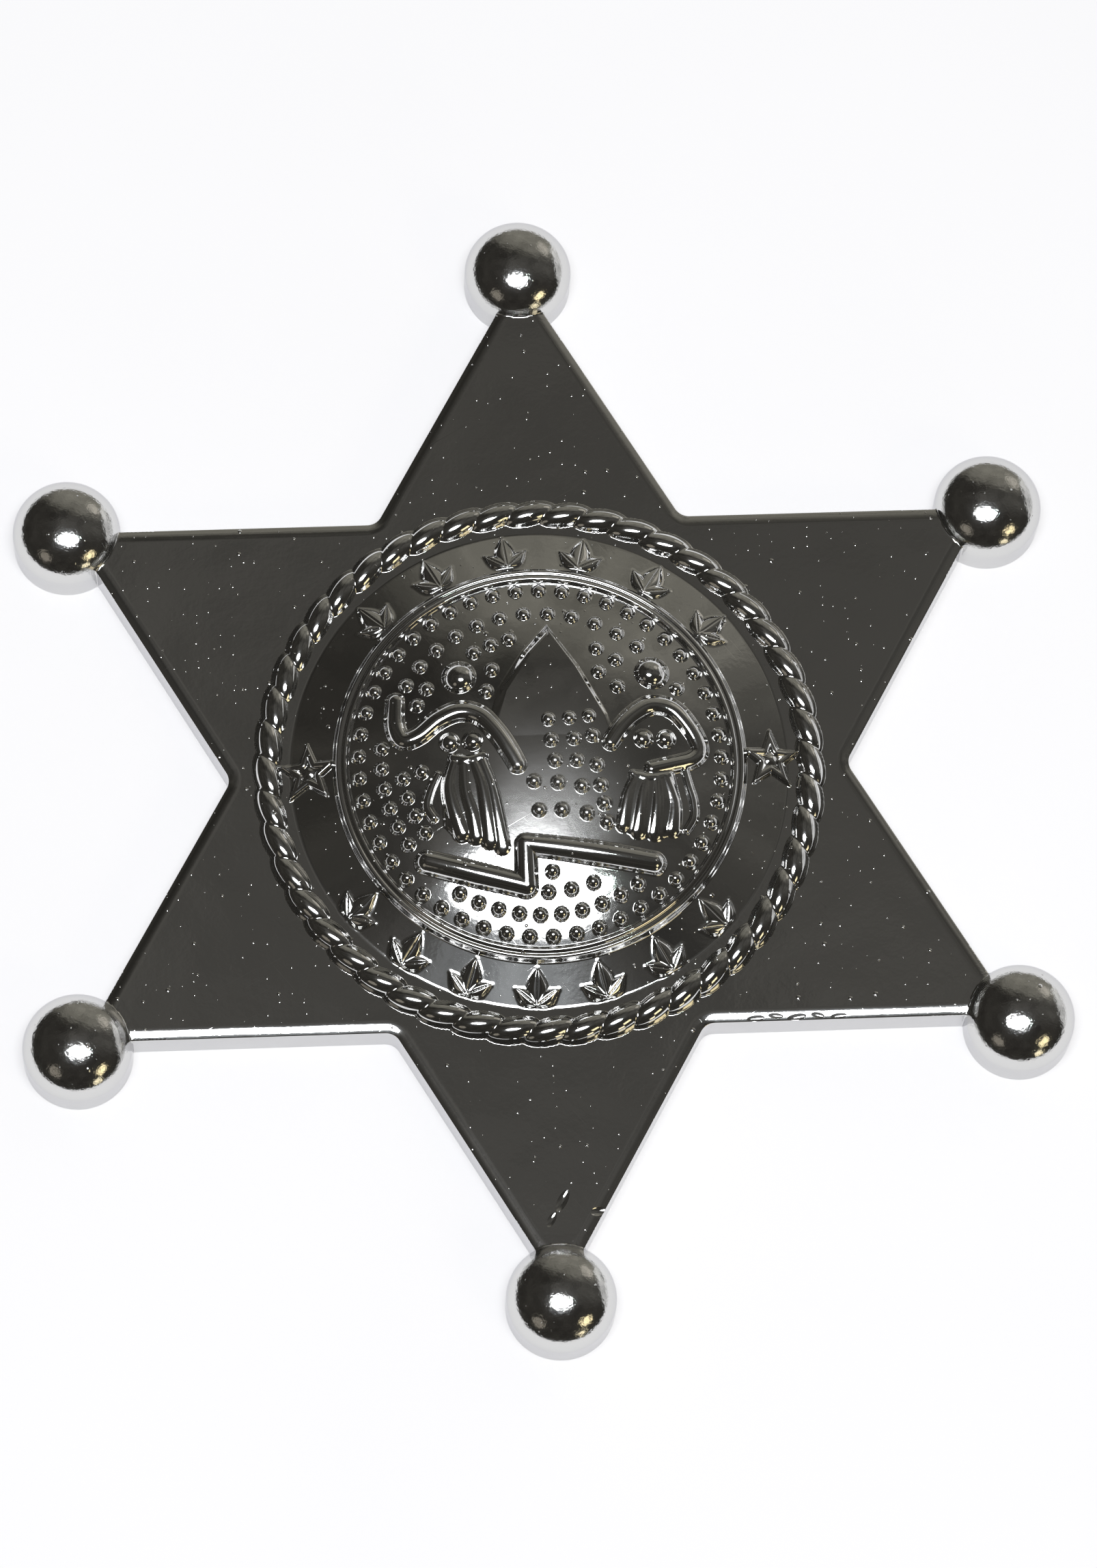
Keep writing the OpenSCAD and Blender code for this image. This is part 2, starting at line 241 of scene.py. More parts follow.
def crown(distance, half_width, height):
    """A round ridge's height, as a function of the distance from its middle line."""
    radius = (half_width ** 2 + height ** 2) / (2 * height)
    reach = CROWN_REACH * radius
    steep = CROWN_REACH / math.sqrt(1 - CROWN_REACH ** 2)
    near = np.minimum(distance, reach)
    return np.sqrt(radius ** 2 - near ** 2) - radius + height - steep * (distance - near)


def smooth_path(rows, steps=6):
    """A table's points joined by one smooth curve through all of them."""
    p = np.array([rows[0]] + rows + [rows[-1]], float)
    out = []
    for i in range(1, len(p) - 2):
        for t in np.arange(steps) / steps:
            out.append(0.5 * (2 * p[i] + (p[i + 1] - p[i - 1]) * t
                              + (2 * p[i - 1] - 5 * p[i] + 4 * p[i + 1] - p[i + 2]) * t ** 2
                              + (3 * p[i] - p[i - 1] - 3 * p[i + 1] + p[i + 2]) * t ** 3))
    out.append(p[-2])
    return np.array(out)


def along(x, y, path):
    """For each point: its distance to each segment of a path, and the radius there."""
    a, b = path[:-1], path[1:]
    step = b[:, :2] - a[:, :2]
    length2 = (step ** 2).sum(1)
    dx, dy = x[:, None] - a[:, 0], y[:, None] - a[:, 1]
    t = np.clip((dx * step[:, 0] + dy * step[:, 1]) / length2, 0, 1)
    distance = np.hypot(dx - t * step[:, 0], dy - t * step[:, 1])
    return distance, a[:, 2] + t * (b[:, 2] - a[:, 2])


def limb(x, y, rows, rise, curved=True):
    """A round-topped limb or ribbon. rise is its height as a share of its half width."""
    path = smooth_path(rows) if curved else np.array(rows, float)
    distance, radius = along(x, y, path * RING_R / 100)
    return crown(distance, radius, radius * rise).max(1)


def inside_distance(x, y, outline):
    """Signed distance to a closed outline, positive inside."""
    a = np.array(outline, float)
    b = np.roll(a, -1, axis=0)
    closed = np.column_stack([np.vstack([a, a[:1]]), np.zeros(len(a) + 1)])
    distance = along(x, y, closed)[0].min(1)
    inside = np.zeros(len(x), bool)
    for (ax, ay), (bx, by) in zip(a, b):
        if ay != by:
            crosses = (ay > y) != (by > y)
            inside ^= crosses & (x < ax + (y - ay) * (bx - ax) / (by - ay))
    return np.where(inside, distance, -distance)


def dot_places():
    places = [polar(DOT_ROW_R, 2 * math.pi * k / DOTS_OUTER) for k in range(DOTS_OUTER)]
    for radius, first, last, count in DOT_ROWS:
        for angle in np.radians(np.linspace(first, last, count)):
            places.append(polar(radius * RING_R / 100, angle))
    places += [np.array(place) * RING_R / 100 for place in LOOSE_DOTS]
    return np.array(places)


def robe(x, y, outline, pleats):
    """A robe's soft raised shape with its pleats, which fall towards the hem."""
    edges = np.array(outline) * RING_R / 100
    depth = np.clip(inside_distance(x, y, edges) / ROBE_ROUND, -1, 1)
    height = ROBE_H * np.where(depth > 0, np.sqrt(np.clip(1 - (1 - depth) ** 2, 0, 1)), 2 * depth)
    for rows in pleats:
        height = smooth_max(height, limb(x, y, rows, PLEAT_RISE), PLEAT_SOFT)
    top_y, low_y = edges[:, 1].max(), edges[:, 1].min()
    down = np.clip((top_y - y) / (top_y - low_y), 0, 1)
    return np.where(height > 0, height * (1 - HEM_LOSS * down * down), height)


def smooth_step(t):
    t = np.clip(t, 0, 1)
    return t * t * (3 - 2 * t)


def peak(x, y):
    """A peak with a crisp right edge and a soft left one. It falls less than the dome does."""
    edge = inside_distance(x, y, np.array(PEAK) * RING_R / 100)
    softness = np.where(x < PEAK_SPLIT_X, PEAK_SOFT_EDGE, PEAK_CRISP_EDGE)
    height = PEAK_SLOPE * np.clip(y - PEAK_LOW_Y, 0, None)
    return height * smooth_step(edge / softness + PEAK_EDGE_OUT)


def seal_height(x, y):
    """Height of the seal's face over the table."""
    r = np.hypot(x, y)
    dome = SEAL_TOP_Z - SEAL_SPHERE_R + np.sqrt(SEAL_SPHERE_R ** 2 - r ** 2)
    relief = peak(x, y)
    near = np.full_like(x, 9.0)
    for px, py in dot_places():
        near = np.minimum(near, np.hypot(x - px, y - py))
    relief = smooth_max(relief, crown(near, DOT_D / 2, DOT_H), SOFT)
    relief = smooth_max(relief, robe(x, y, LEFT_ROBE, LEFT_PLEATS), SOFT)
    relief = smooth_max(relief, robe(x, y, RIGHT_ROBE, RIGHT_PLEATS), SOFT)
    for rows in (LEFT_DRAPE, RIGHT_DRAPE):
        relief = smooth_max(relief, limb(x, y, rows, DRAPE_RISE), SOFT)
    for rows in (LEFT_ARM, RIGHT_ARM):
        relief = smooth_max(relief, limb(x, y, rows, ARM_RISE), LIMB_SOFT)
    relief = smooth_max(relief, limb(x, y, RIBBON, RIBBON_RISE, curved=False), LIMB_SOFT)
    for bx, by, radius in np.array(BALLS) * RING_R / 100:
        ball = crown(np.hypot(x - bx, y - by), radius, radius * HEAD_RISE)
        relief = smooth_max(relief, ball, HEAD_SOFT)
    return dome + smooth_max(relief, ring_height(r), RING_SOFT)


def ring_height(r):
    """Two thin ridges side by side, over the ground at the ring."""
    inner, outer = [crown(np.abs(r - RING_R - side * RING_GAP / 2), RIDGE_HALF_W, RIDGE_H)
                    for side in (-1, 1)]
    body = crown(np.abs(r - RING_R), RING_HALF_W, RING_BODY_H)
    return smooth_max(smooth_max(inner, outer, RIDGE_SOFT) + RING_H - RIDGE_H, body, SOFT)


def band_height(r):
    """The sloping band from the rope's foot up to the ring, a little steeper inwards."""
    s = np.clip(BAND_FOOT_R - r, 0, None)
    foot = np.where(s < BAND_BEND, s * s / (2 * BAND_BEND), s - BAND_BEND / 2)
    lift = BAND_LIFT * smooth_step((ROPE_R + LIFT_FADE - r) / (2 * LIFT_FADE))
    return PLATE_T + lift + BAND_SLOPE * foot + BAND_STEEPER * s * s


def rope_height(r, angle):
    """The rope's slanting strands, each one a long round pillow."""
    pitch = 2 * math.pi / STRANDS
    height = np.full_like(r, -1.0)
    nearest = np.round(angle / pitch)
    for step in (-1, 0, 1):
        a = (angle - (nearest + step) * pitch) * ROPE_R
        b = r - ROPE_R
        u = a * math.cos(STRAND_TILT) - b * math.sin(STRAND_TILT)
        v = a * math.sin(STRAND_TILT) + b * math.cos(STRAND_TILT)
        reach = np.hypot(u / STRAND_HALF_L, v / STRAND_HALF_W)
        pillow = ROPE_H * crown(reach, 1, STRAND_ROUND) / STRAND_ROUND
        height = smooth_max(height, pillow, STRAND_SOFT)
    return height


def leaf_height(u, v, length):
    """A pointed leaf along u: a smooth pillow with a fine groove down its middle."""
    share = np.clip(u / length, 0, 1)
    half = LEAF_LEAST_W + LEAF_HALF_W * length * np.sin(math.pi * share ** LEAF_SKEW)
    beyond = np.clip(np.abs(u - length / 2) - length / 2, 0, None)
    across = np.hypot(np.abs(v), beyond) / half
    pillow = np.sqrt(np.clip(1 - across ** 2, 0, 1))
    body = MOTIF_H * np.where(across < 1, pillow, (1 - across) * half)
    groove = GROOVE_DEPTH * np.clip(1 - np.abs(v) / GROOVE_HALF_W, 0, 1) ** 2
    return body - groove * np.clip(share * (1 - share) * GROOVE_FADE, 0, 1)


def sprig_height(x, y, angle, out):
    """Three leaves that fan out from one stalk. They point outwards for out 1, inwards for -1."""
    c, s = math.cos(angle), math.sin(angle)
    u = (x * c + y * s - SPRIG_R) * out + LEAF_L / 2
    v = (y * c - x * s) * out
    height = leaf_height(u, v, LEAF_L)
    for spread in (-1, 1):
        cs, sn = math.cos(SIDE_LEAF_ANGLE), spread * math.sin(SIDE_LEAF_ANGLE)
        side = leaf_height(u * cs + v * sn, v * cs - u * sn, SIDE_LEAF_L)
        height = smooth_max(height, side, LEAF_SOFT)
    return height


def small_star_height(x, y, angle):
    """A small five-pointed star with a raised rim and a bump in the middle."""
    middle = polar(SMALL_STAR_AT_R, angle)
    points = []
    for k in range(10):
        share = 1 if k % 2 == 0 else SMALL_STAR_WAIST
        points.append(middle + polar(SMALL_STAR_R * share, math.pi / 2 + k * math.pi / 5))
    edge = inside_distance(x, y, points)
    rim = crown(np.abs(edge - STAR_RIM_IN), STAR_RIM_HALF_W, STAR_RIM_H) + MOTIF_H - STAR_RIM_H
    floor = np.clip(edge, -1, STAR_FLOOR_H)
    bump = crown(np.hypot(x - middle[0], y - middle[1]), STAR_BUMP_R, STAR_BUMP_H)
    return smooth_max(smooth_max(rim, floor, SOFT), bump, SOFT)


def border_height(x, y):
    """Height of the ring, the band with its motifs, the rope and the plate round it."""
    r, angle = np.hypot(x, y), np.arctan2(y, x)
    relief = np.zeros_like(x)
    for k in range(TOP_SPRIGS):
        a = math.radians(TOP_SPRIG_MIDDLE + (k - (TOP_SPRIGS - 1) / 2) * TOP_SPRIG_STEP)
        relief = smooth_max(relief, sprig_height(x, y, a, 1), MOTIF_SOFT)
    for k in range(LOW_SPRIGS):
        a = math.radians(LOW_SPRIG_MIDDLE + (k - (LOW_SPRIGS - 1) / 2) * LOW_SPRIG_STEP)
        relief = smooth_max(relief, sprig_height(x, y, a, -1), MOTIF_SOFT)
    for a in (0, math.pi):
        relief = smooth_max(relief, small_star_height(x, y, a), MOTIF_SOFT)
    relief = relief * np.clip((r - RING_R - MOTIF_GAP) / FADE_W, 0, 1)
    base = band_height(r) + relief
    ring = RING_BASE_Z + ring_height(r)
    base = smooth_max(base, ring, RING_SOFT)
    rope = PLATE_T + rope_height(r, angle)
    fade = np.clip((BORDER_R - r) / FADE_W, 0, 1)
    return np.where(r < BORDER_R, smooth_max(base, rope, ROPE_SOFT * fade + 1e-6), PLATE_T)


def grid_normals(height, x, y, step=0.01):
    """Upward normals of a height function."""
    dx = (height(x + step, y) - height(x - step, y)) / (2 * step)
    dy = (height(x, y + step) - height(x, y - step)) / (2 * step)
    n = np.column_stack([-dx, -dy, np.ones_like(dx)])
    return n / np.linalg.norm(n, axis=1)[:, None]


def add_piece(name, points, faces, normals, smooth, material):
    """Makes one visible piece of the star body, with its own normals on the smooth faces.

    Zero normals are worked out by Blender, and points that no face uses are dropped.
    """
    sides = np.array([len(face) for face in faces])
    used, corner = np.unique(np.concatenate(faces), return_inverse=True)
    lists = np.split(corner, np.cumsum(sides)[:-1])
    mesh = bpy.data.meshes.new(name)
    places = np.asarray(points)[used] * MM
    mesh.from_pydata(places.tolist(), [], [face.tolist() for face in lists])
    mesh.polygons.foreach_set("use_smooth", np.asarray(smooth, bool))
    mesh.update()
    keep = np.repeat(np.asarray(smooth, bool), sides)
    mesh.normals_split_custom_set((normals[used][corner] * keep[:, None]).tolist())
    piece = bpy.data.objects.new(name, mesh)
    bpy.context.scene.collection.objects.link(piece)
    piece.data.materials.append(material)
    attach(piece, "root")
    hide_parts("star_body")


def strip(first, second):
    """Quads from one closed ring of point numbers out or down to the next."""
    a1, b1 = np.roll(first, -1), np.roll(second, -1)
    return np.column_stack([first, second, b1, a1]).tolist()


def cells(number):
    """Quads of a grid of point numbers."""
    return np.column_stack([number[:-1, :-1].ravel(), number[1:, :-1].ravel(),
                            number[1:, 1:].ravel(), number[:-1, 1:].ravel()]).tolist()


def sides_of(number):
    """A grid's four sides, as runs of point numbers in turn round it."""
    return [number[:-1, 0], number[-1, :-1], number[::-1, -1][:-1], number[0, ::-1][:-1]]


def underside(number):
    """Large faces seen from below, with every point of the fine grid's outer edge."""
    faces, last = [], np.array(number.shape) - 1
    for i in range(0, last[0], UNDERSIDE_STEP):
        for j in range(0, last[1], UNDERSIDE_STEP):
            ends = i + UNDERSIDE_STEP, j + UNDERSIDE_STEP
            block = number[i:ends[0] + 1, j:ends[1] + 1]
            outer = [j == 0, ends[0] == last[0], ends[1] == last[1], i == 0]
            runs = [side if edge else side[:1] for side, edge in zip(sides_of(block), outer)]
            faces.append(np.concatenate(runs)[::-1].tolist())
    return faces


def ceiling_z(r):
    """Height of the hollow back's ceiling under the seal."""
    return SEAL_TOP_Z - SEAL_SPHERE_R + np.sqrt((SEAL_SPHERE_R - WALL) ** 2 - r ** 2)


def ring_points(radius, z):
    """A level ring of RAYS points."""
    angle = 2 * math.pi * np.arange(RAYS) / RAYS
    return np.column_stack([radius * np.cos(angle), radius * np.sin(angle), np.full(RAYS, z)])


def build_seal(material):
    """The seal: a square grid pressed into a disc, so that its cells stay about the same size."""
    lines = np.linspace(-1, 1, GRID + 1)
    a, b = np.meshgrid(lines, lines, indexing="ij")
    wide = np.abs(a) >= np.abs(b)
    with np.errstate(divide="ignore", invalid="ignore"):
        angle = np.where(wide, math.pi / 4 * b / a, math.pi / 2 - math.pi / 4 * a / b)
    angle = np.where((a == 0) & (b == 0), 0, angle)
    radius = np.where(wide, a, b) * RING_R
    x, y = (radius * np.cos(angle)).ravel(), (radius * np.sin(angle)).ravel()
    top = np.column_stack([x, y, seal_height(x, y)])
    ceiling = np.column_stack([x, y, ceiling_z(np.hypot(x, y))])
    points = np.vstack([top, ceiling])
    normals = np.vstack([grid_normals(seal_height, x, y), np.zeros_like(top)])
    number = np.arange(len(top)).reshape(GRID + 1, GRID + 1)
    half = GRID // 2
    for name, part in (("seal_left", number[:half + 1]), ("seal_right", number[half:])):
        face, back = cells(part), underside(part + len(top))
        rim = np.concatenate(sides_of(part))
        smooth = [True] * (len(face) + len(back)) + [False] * len(rim)
        add_piece(name, points, face + back + strip(rim, rim + len(top)), normals, smooth, material)


def build_border(name, radii, hollow, material):
    """A part of the border on rays from the middle.

    hollow holds the radii and heights of its underside.
    """
    angle = 2 * math.pi * np.arange(RAYS) / RAYS
    r, a = np.meshgrid(radii, angle, indexing="ij")
    x, y = (r * np.cos(a)).ravel(), (r * np.sin(a)).ravel()
    top = np.column_stack([x, y, border_height(x, y)])
    normals = grid_normals(border_height, x, y)
    if radii[0] == RING_R:
        top[:RAYS, 2] = seal_height(x[:RAYS], y[:RAYS])
        normals[:RAYS] = grid_normals(seal_height, x[:RAYS], y[:RAYS])
    if radii[-1] == BORDER_R:
        normals[-RAYS:] = (0, 0, 1)
    points = np.vstack([top] + [ring_points(radius, z) for radius, z in hollow])
    rings = np.arange(len(points)).reshape(-1, RAYS)
    faces = []
    for ring, after in zip(rings, np.roll(rings, -1, axis=0)):
        faces += strip(ring, after)
    smooth = np.arange(len(faces)) < (len(radii) - 1) * RAYS
    normals = np.vstack([normals, np.zeros((len(hollow) * RAYS, 3))])
    add_piece(name, points, faces, normals, smooth, material)


def build_borders(material):
    """The ring with its band, and the rope."""
    low_z = PLATE_T - WALL
    ring_ceiling = ceiling_z(RING_R)
    share = (HOLLOW_FLAT_R - BAND_R) / (HOLLOW_FLAT_R - RING_R)
    middle = (BAND_R, low_z + (ring_ceiling - low_z) * share)
    build_border("seal_band", np.linspace(RING_R, BAND_R, BAND_RINGS + 1),
                 [middle, (RING_R, ring_ceiling)], material)
    build_border("rope_border", np.linspace(BAND_R, BORDER_R, ROPE_RINGS + 1),
                 [(BORDER_R, low_z), (HOLLOW_FLAT_R, low_z), middle], material)


def build_posts(material):
    """The two plain posts that hold the pin bar, from the hollow's ceiling down."""
    turn = 2 * math.pi * np.arange(POST_SIDES) / POST_SIDES
    spokes = np.column_stack([np.cos(turn), np.sin(turn)])
    numbers = np.arange(2 * POST_SIDES).reshape(2, POST_SIDES)
    for name, side in (("pin_post_1", -1), ("pin_post_2", 1)):
        flat = POST_R * spokes + [side * POST_X, 0]
        high = ceiling_z(POST_X) + WALL / 2
        rings = [np.column_stack([flat, np.full(POST_SIDES, z)]) for z in (high, POST_LOW_Z)]
        faces = strip(numbers[0], numbers[1]) + [numbers[0].tolist(), numbers[1][::-1].tolist()]
        normals = np.tile(np.column_stack([spokes, np.zeros(POST_SIDES)]), (2, 1))
        smooth = [True] * POST_SIDES + [False, False]
        add_piece(name, np.vstack(rings), faces, normals, smooth, material)


def half_outline(inset, cut):
    """The outline from a hollow corner to the next arm's middle, with its outward normals."""
    middle = np.array([(EDGE_R + NOTCH_R) / math.cos(math.radians(30)), 0])
    turn = np.radians(180 - 30 * np.arange(NOTCH_RAYS + 1) / NOTCH_RAYS)
    spokes = np.column_stack([np.cos(turn), np.sin(turn)])
    notch = middle + (NOTCH_R + inset) * spokes
    axis, across = polar(1, math.radians(30)), polar(1, math.radians(120))
    corner_y = (2 * (EDGE_R - inset) - cut) * math.tan(math.radians(30))
    corner = axis * cut - across * corner_y
    t = np.arange(1, EDGE_RAYS + 1)[:, None] / EDGE_RAYS
    edge = notch[-1] + (corner - notch[-1]) * t
    t = np.arange(1, CUT_RAYS + 1)[:, None] / CUT_RAYS
    end = corner + (axis * cut - corner) * t
    edge_normals = np.tile(-spokes[-1], (EDGE_RAYS, 1))
    end_normals = np.tile(axis, (CUT_RAYS, 1))
    return np.vstack([notch, edge, end]), np.vstack([-spokes, edge_normals, end_normals])


def outline(inset, cut):
    """The whole outline as RAYS points, starting at the hollow corner on the x axis."""
    half, half_normals = half_outline(inset, cut)
    other, other_normals = half[::-1] * [1, -1], half_normals[::-1] * [1, -1]
    points, normals = [], []
    for k in range(ARMS):
        c, s = math.cos(k * math.pi / 3), math.sin(k * math.pi / 3)
        turn = np.array([[c, s], [-s, c]])
        points += [other[:-1] @ turn, half[:-1] @ turn]
        normals += [other_normals[:-1] @ turn, half_normals[:-1] @ turn]
    shift = -len(half) + 1
    return np.roll(np.vstack(points), shift, axis=0), np.roll(np.vstack(normals), shift, axis=0)


def build_plate(material):
    """The star's plate round the rope, with soft edges, upright walls and a hollow back."""
    rings = []
    for tilt in np.linspace(0, SHOULDER_END, SHOULDER_STEPS + 1):
        rings.append((CORNER_IN + SHOULDER_W - SHOULDER_R * math.sin(tilt),
                      PLATE_T - SHOULDER_R * (1 - math.cos(tilt)), tilt))
    for tilt in np.linspace(SHOULDER_END, math.pi / 2, CORNER_STEPS + 1)[1:]:
        rings.append((CORNER_R * (1 - math.sin(tilt)), CORNER_Z + CORNER_R * math.cos(tilt), tilt))
    points, normals = [ring_points(BORDER_R, PLATE_T)], [np.tile((0.0, 0, 1), (RAYS, 1))]
    faces, smooth = [], []
    cut_face = np.zeros(RAYS, bool)
    sixth = RAYS // ARMS
    for k in range(ARMS):
        middle = k * sixth + sixth // 2
        cut_face[middle - CUT_RAYS:middle + CUT_RAYS] = True
    for inset, z, tilt in rings:
        flat, out = outline(inset, ARM_CUT)
        points.append(np.column_stack([flat, np.full(RAYS, z)]))
        normals.append(np.column_stack([out * math.sin(tilt), np.full(RAYS, math.cos(tilt))]))
    flat = outline(0, ARM_CUT)[0]
    points.append(np.column_stack([flat, np.zeros(RAYS)]))
    flat = outline(WALL, HOLLOW_END)[0]
    points.append(np.column_stack([flat, np.zeros(RAYS)]))
    points.append(np.column_stack([flat, np.full(RAYS, PLATE_T - WALL)]))
    points.append(ring_points(BORDER_R, PLATE_T - WALL))
    normals += [np.zeros((RAYS, 3))] * 4
    for k in range(len(points)):
        here = np.arange(k * RAYS, (k + 1) * RAYS)
        there = (here + RAYS) % (len(points) * RAYS)
        faces += strip(here, there)
        rounded = k < len(rings)
        smooth += (~cut_face if rounded and k > 0 else np.full(RAYS, rounded)).tolist()
    add_piece("star_plate", np.vstack(points), faces, np.vstack(normals), smooth, material)


def edge_distance(out, up):
    """Distance to the plate's edge, negative inside: out from its wall, up from its face."""
    in_plan, in_height = out + CORNER_IN + SHOULDER_W, up + SHOULDER_R
    shoulder = np.hypot(in_plan, in_height) - SHOULDER_R
    corner = np.hypot(out + CORNER_R, up + PLATE_T - CORNER_Z) - CORNER_R
    low = np.where(up > CORNER_Z - PLATE_T, corner, out)
    top = np.where(in_plan < in_height * math.tan(SHOULDER_END), shoulder, low)
    return np.maximum(np.where(in_plan < 0, up, top), out)


def ball_and_arm(p):
    """Distance-like field of an arm's end and its ball, negative inside. The arm lies along x."""
    x, y, z = p[..., 0], p[..., 1], p[..., 2]
    side = np.abs(y) * math.cos(math.radians(30)) + x * 0.5 - EDGE_R
    arm = edge_distance(side, z - PLATE_T)
    across = np.hypot(x - BALL_CIRCLE_R, y)
    up = np.clip(z - BALL_WALL_H, 0, None)
    k0 = np.hypot(across / BALL_R, up / BALL_DOME_H)
    k1 = np.hypot(across / BALL_R ** 2, up / BALL_DOME_H ** 2)
    ball = k0 * (k0 - 1) / np.maximum(k1, 1e-6)
    return -smooth_max(-arm, -ball, BALL_FILLET)


def field_gradient(p, step=0.004):
    """The field's gradient, which points away from the surface."""
    g = np.zeros_like(p)
    for axis in range(3):
        shift = np.zeros(3)
        shift[axis] = step
        g[..., axis] = (ball_and_arm(p + shift) - ball_and_arm(p - shift)) / (2 * step)
    return g


def at_corner(grid, corner, counts):
    """A grid's values at one corner of each cell."""
    i, j, k = corner
    return grid[i:i + counts[0], j:j + counts[1], k:k + counts[2]]


def net_surface(values, low, cell):
    """Quads round the negative values, with one point in each cell that the surface crosses."""
    inside = values < 0
    counts = np.array(values.shape) - 1
    total, place = np.zeros(counts), np.zeros((*counts, 3))
    corners = [(i, j, k) for i in (0, 1) for j in (0, 1) for k in (0, 1)]
    for a in corners:
        for axis in range(3):
            if a[axis] == 0:
                b = tuple(v + (n == axis) for n, v in enumerate(a))
                va, vb = at_corner(values, a, counts), at_corner(values, b, counts)
                cross = at_corner(inside, a, counts) != at_corner(inside, b, counts)
                t = np.where(cross, va / np.where(cross, va - vb, 1), 0)
                total += cross
                for n in range(3):
                    place[..., n] += cross * (a[n] + (t if n == axis else 0))
    used = total > 0
    number = np.full(counts, -1)
    number[used] = np.arange(used.sum())
    index = np.argwhere(used)
    points = low + cell * (index + place[used] / total[used][:, None])
    quads = []
    for axis in range(3):
        n1, n2 = (axis + 1) % 3, (axis + 2) % 3
        first = np.take(inside, range(counts[axis]), axis)
        second = np.take(inside, range(1, counts[axis] + 1), axis)
        for leaving in (True, False):
            edges = np.argwhere((first == leaving) & (second != leaving))
            edges = edges[(edges[:, n1] > 0) & (edges[:, n2] > 0)
                          & (edges[:, n1] < counts[n1]) & (edges[:, n2] < counts[n2])]
            ring = []
            for s1, s2 in ((1, 1), (0, 1), (0, 0), (1, 0)):
                e = edges.copy()
                e[:, n1] -= s1
                e[:, n2] -= s2
                ring.append(number[e[:, 0], e[:, 1], e[:, 2]])
            quads.append(np.column_stack(ring if leaving else ring[::-1]))
    return points, np.vstack(quads)


def ball_mesh():
    """One arm's end with its ball, along x: points, quads, normals and which quads are smooth."""
    low = np.array([ARM_CUT - 1.5 * BALL_CELL, -BALL_R - 3 * BALL_CELL, -1.5 * BALL_CELL])
    high = np.array([BALL_CIRCLE_R + BALL_R, BALL_R, BALL_WALL_H + BALL_DOME_H]) + 3 * BALL_CELL
    counts = np.ceil((high - low) / BALL_CELL).astype(int)
    lines = [low[n] + BALL_CELL * np.arange(counts[n] + 1) for n in range(3)]
    grid = np.stack(np.meshgrid(*lines, indexing="ij"), axis=-1)
    body = ball_and_arm(grid)
    values = np.maximum(np.maximum(body, ARM_CUT - grid[..., 0]), -grid[..., 2])
    points, quads = net_surface(values, low, BALL_CELL)
    on_cut = points[:, 0] < ARM_CUT + 0.5 * BALL_CELL
    on_table = points[:, 2] < 0.5 * BALL_CELL
    points[on_cut, 0] = ARM_CUT
    points[on_table, 2] = 0
    free = np.ones_like(points)
    free[on_cut, 0] = 0
    free[on_table, 2] = 0
    near = np.abs(ball_and_arm(points)) < 0.75 * BALL_CELL
    for _ in range(SURFACE_STEPS):
        g = field_gradient(points) * free
        step = ball_and_arm(points) / np.maximum((g ** 2).sum(1), 0.05)
        points -= g * (step * near)[:, None]
    normals = field_gradient(points)
    normals /= np.maximum(np.linalg.norm(normals, axis=1), 1e-9)[:, None]
    flat = on_cut[quads].all(1) | on_table[quads].all(1)
    return points, quads, normals, ~flat


def build_balls(material):
    """The six arm ends with their balls, all from one mesh."""
    points, quads, normals, smooth = ball_mesh()
    for k in range(ARMS):
        a = math.radians(30 + 60 * k)
        c, s = math.cos(a), math.sin(a)
        turn = np.array([[c, s, 0], [-s, c, 0], [0, 0, 1]])
        name = f"ball_tip_{k + 1}"
        add_piece(name, points @ turn, quads.tolist(), normals @ turn, smooth, material)


# Plating: its clear coat, two tones, tint at grazing angles and range of roughness. A noise's
# values are its scale, its detail and, where it isn't the usual one, its roughness.
COAT = 0.4
COAT_ROUGH = 0.24
PLATING_TONES = ((0.66, 0.66, 0.65), (0.73, 0.73, 0.72))
TONE_NOISE = (120, 3)
GRAZING_TINT = (0.74, 0.74, 0.76, 1)
PLATING_ROUGH = (0.03, 0.09)
ROUGH_NOISE = (300, 4)
# Soft and fine waviness. Columns: noise scale, detail, height in metres
WAVES = [(160, 1, 0.00006), (2000, 2, 0.000004)]
# The balls are a little rougher and grainier. That sets in between two radii from the middle.
BALL_ROUGH = 0.03
BALL_GRAIN = (3200, 3, 0.6)
BALL_GRAIN_H = 0.000018
BALL_MASK_R = (35.4 * MM, 36.6 * MM)
# Scratches lie where a stretched noise is over a threshold. Columns: angle, length
SCRATCHES = [(28, 5), (-52, 4)]
SCRATCH_SLIM = 40
SCRATCH_FROM = 0.74
SCRATCH_GAIN = 10
SCRATCH_H = -0.0000015
# The worn place at the top of the seal. Columns: x, y, z, half length, half width, angle
WORN = (1.2, -2.2, 6.8, 7.5, 7, 0)
WORN_ROUGH = 0.18
# Pips in the plating. Columns: spacing, share of the places that have one, radius, height
PIPS = [(2.0, 0.24, 0.13, 0.045), (0.9, 0.22, 0.065, 0.016)]
# A pip's radius is between this and 1 plus this times the radius in its row
PIP_LEAST = 0.4
